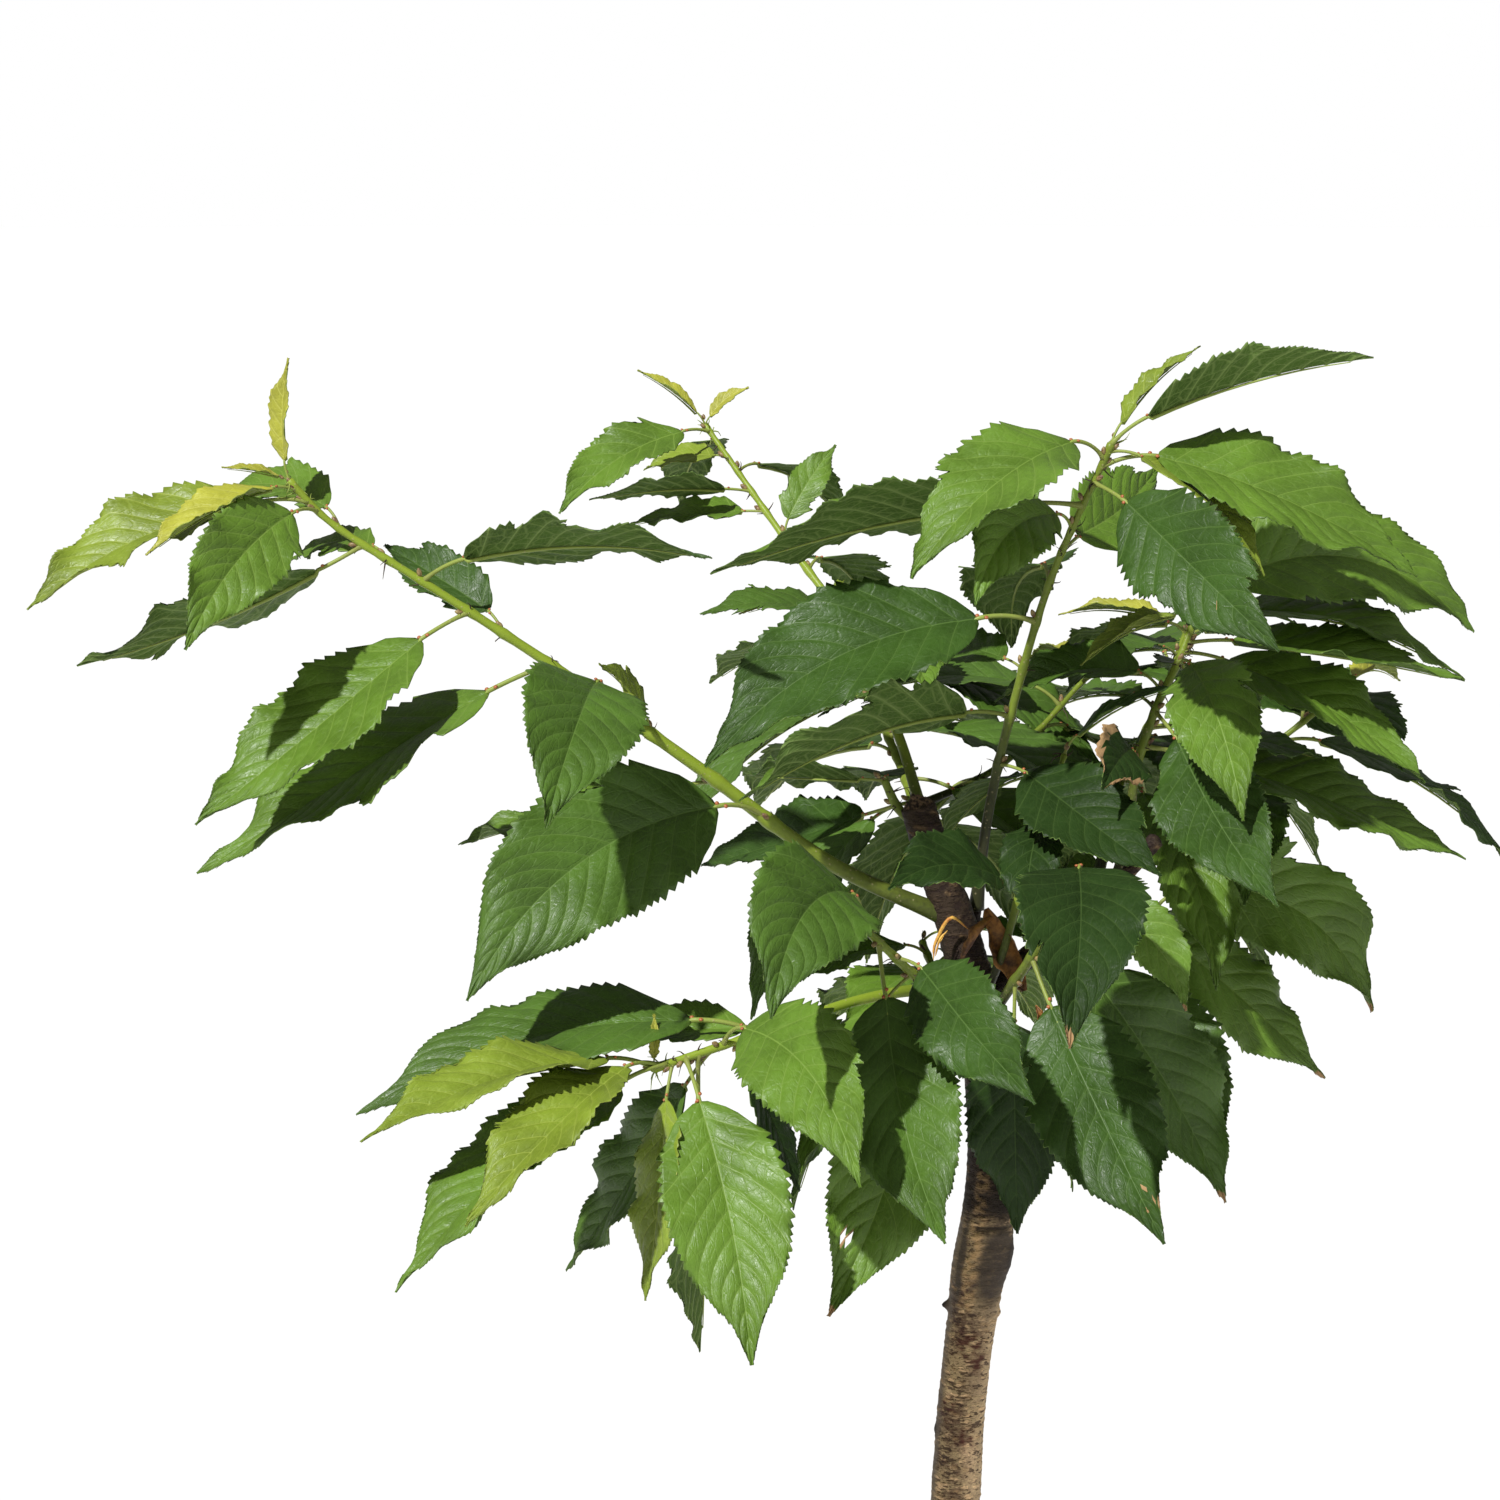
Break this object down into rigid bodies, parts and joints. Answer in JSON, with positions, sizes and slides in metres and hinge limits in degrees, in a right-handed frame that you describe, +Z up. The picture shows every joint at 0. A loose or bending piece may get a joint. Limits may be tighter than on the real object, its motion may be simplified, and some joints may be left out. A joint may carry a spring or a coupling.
{
  "type": "potted cherry tree",
  "caption": "Young sweet cherry tree grown as a short standard in a plain round clay pot, with a forked head of long leafy shoots and large drooping leaves.",
  "frame": {"origin": "centre of the pot's flat underside", "axes": "+Z up along the pot's axis, X across the side the tree is usually seen from with +X to its right, +Y away from it"},
  "size_m": [0.745, 0.5233, 1.2188],
  "materials": {
    "clay": "matte",
    "compost": "matte",
    "bark": "matte",
    "leaf": "satin"
  },
  "bodies": {
    "root": {"pot": "clay", "soil": "compost", "trunk": "bark", "bough_left": "bark", "bough_right": "bark", "bough_centre": "bark", "foliage_left": "leaf", "foliage_back_left": "leaf", "foliage_centre": "leaf", "foliage_middle": "leaf", "foliage_right": "leaf", "foliage_stub": "leaf", "foliage_low_left": "leaf", "foliage_front_right": "leaf", "foliage_front_left": "leaf", "foliage_low_right": "leaf", "foliage_back": "leaf", "foliage_back_right": "leaf", "foliage_low_back": "leaf"}
  },
  "joints": []
}
